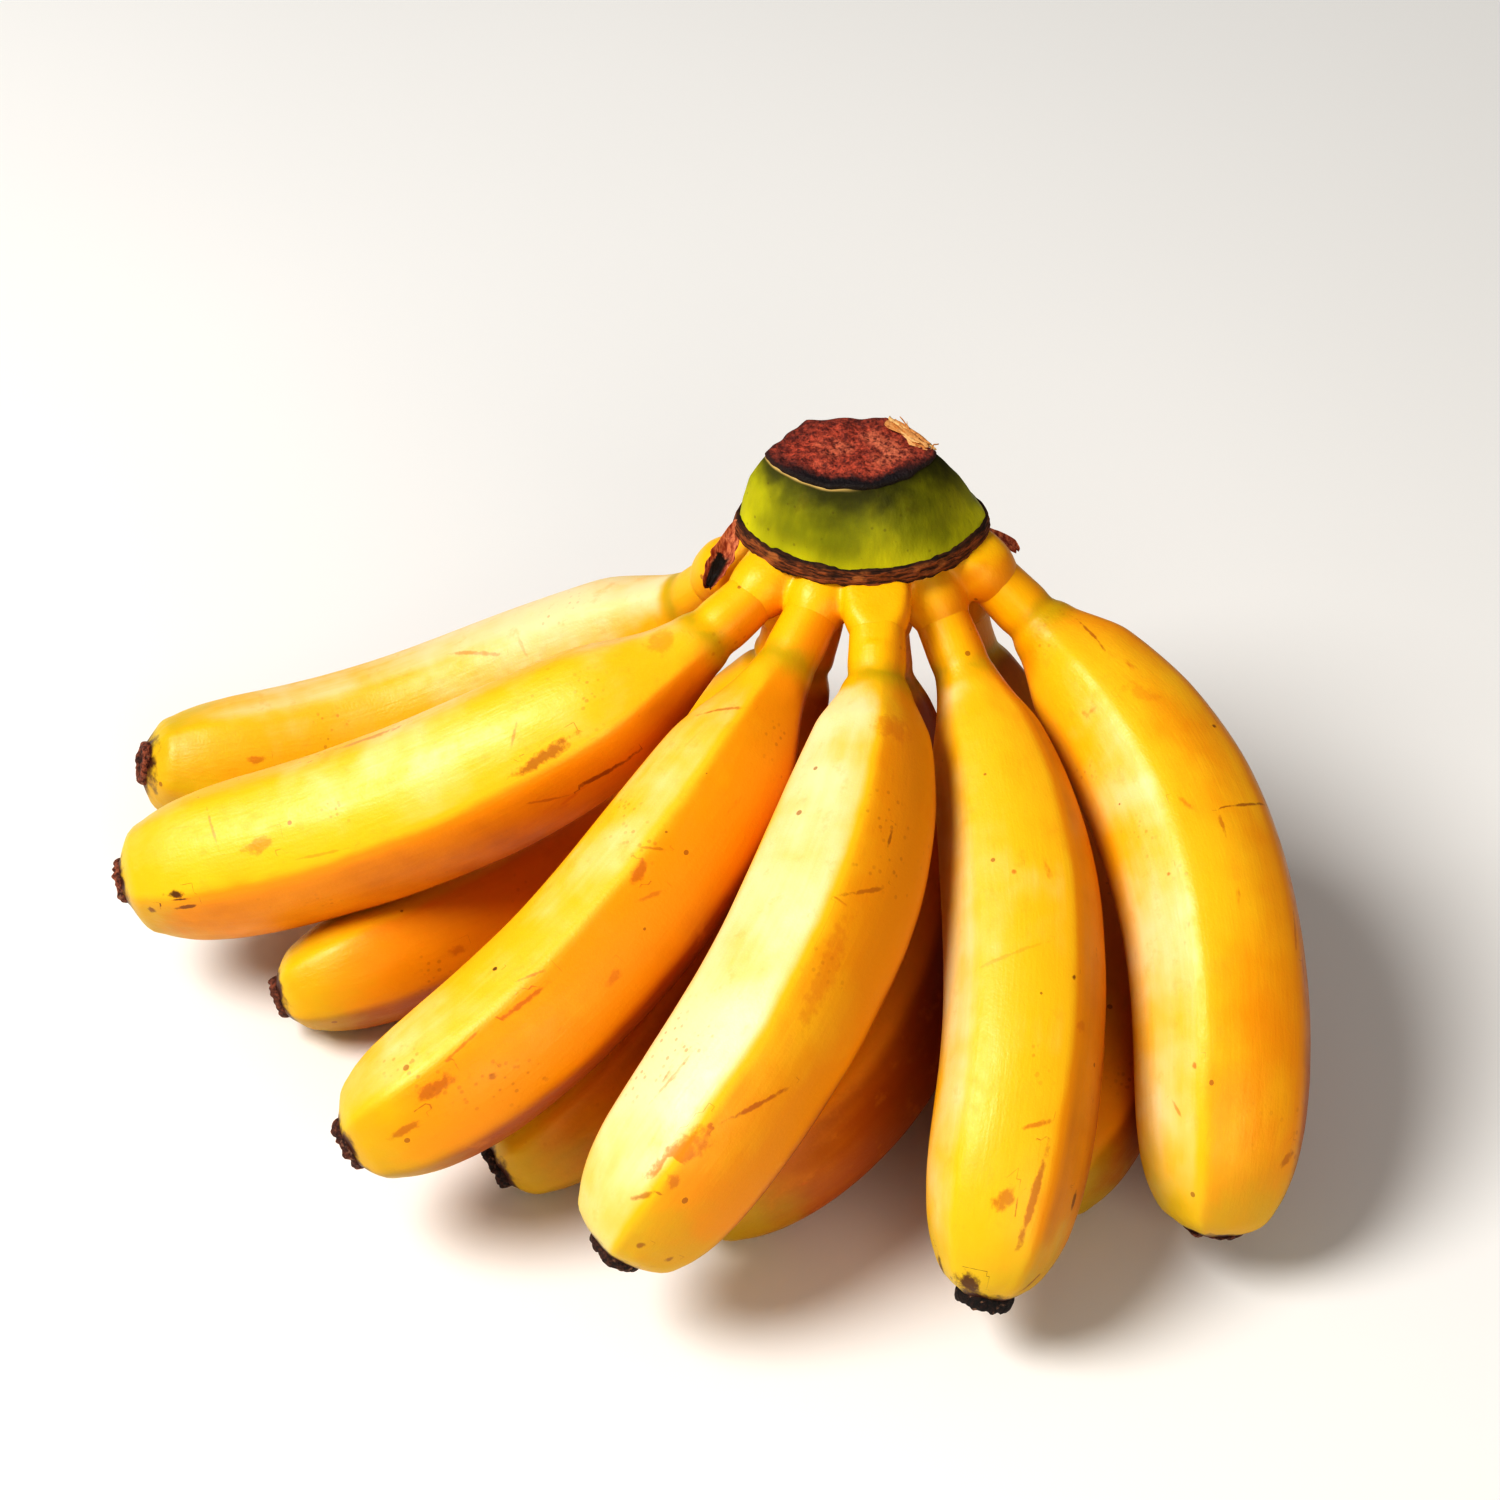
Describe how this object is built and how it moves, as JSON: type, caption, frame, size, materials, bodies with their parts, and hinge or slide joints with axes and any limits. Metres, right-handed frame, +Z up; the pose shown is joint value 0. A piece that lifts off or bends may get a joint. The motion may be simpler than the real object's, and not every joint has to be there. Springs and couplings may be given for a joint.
{
  "type": "bunch of bananas",
  "caption": "Hand of short, plump, curved bananas in two rows, joined under one green crown with a dried cut face and a corky bract scar; it lies on its lower row.",
  "frame": {"origin": "on the floor under the centre of the bounding box, with the bunch lying as it rests", "axes": "+X runs across the widest spread of the fingers, -Y is the side the fingers reach towards, +Z is up through the crown"},
  "size_m": [0.239, 0.1756, 0.1097],
  "materials": {
    "peel": "ripe yellow banana peel, waxy satin, greener at the neck and the tip, with brown freckles and scratches",
    "crown_skin": "green skin of the crown, satin",
    "cut_face": "dried reddish-brown grainy cut, matt",
    "bract": "dry brown papery bract, matt",
    "fibre": "torn pale plant fibre, matt",
    "dried_tip": "dried blackish-brown flower remnant, matt and ragged"
  },
  "bodies": {
    "root": {"finger_upper_1": "peel", "finger_upper_2": "peel", "finger_upper_3": "peel", "finger_upper_4": "peel", "finger_upper_5": "peel", "finger_upper_6": "peel", "finger_lower_1": "peel", "finger_lower_2": "peel", "finger_lower_3": "peel", "finger_lower_4": "peel", "tip_upper_1": "dried_tip", "tip_upper_2": "dried_tip", "tip_upper_3": "dried_tip", "tip_upper_4": "dried_tip", "tip_upper_5": "dried_tip", "tip_upper_6": "dried_tip", "tip_lower_1": "dried_tip", "tip_lower_2": "dried_tip", "tip_lower_3": "dried_tip", "tip_lower_4": "dried_tip", "crown": "crown_skin", "crown_callus": "cut_face", "bract_scar": "bract", "bract_flap_left": "bract", "bract_scrap_right": "bract", "torn_fibre": "fibre"}
  },
  "joints": []
}
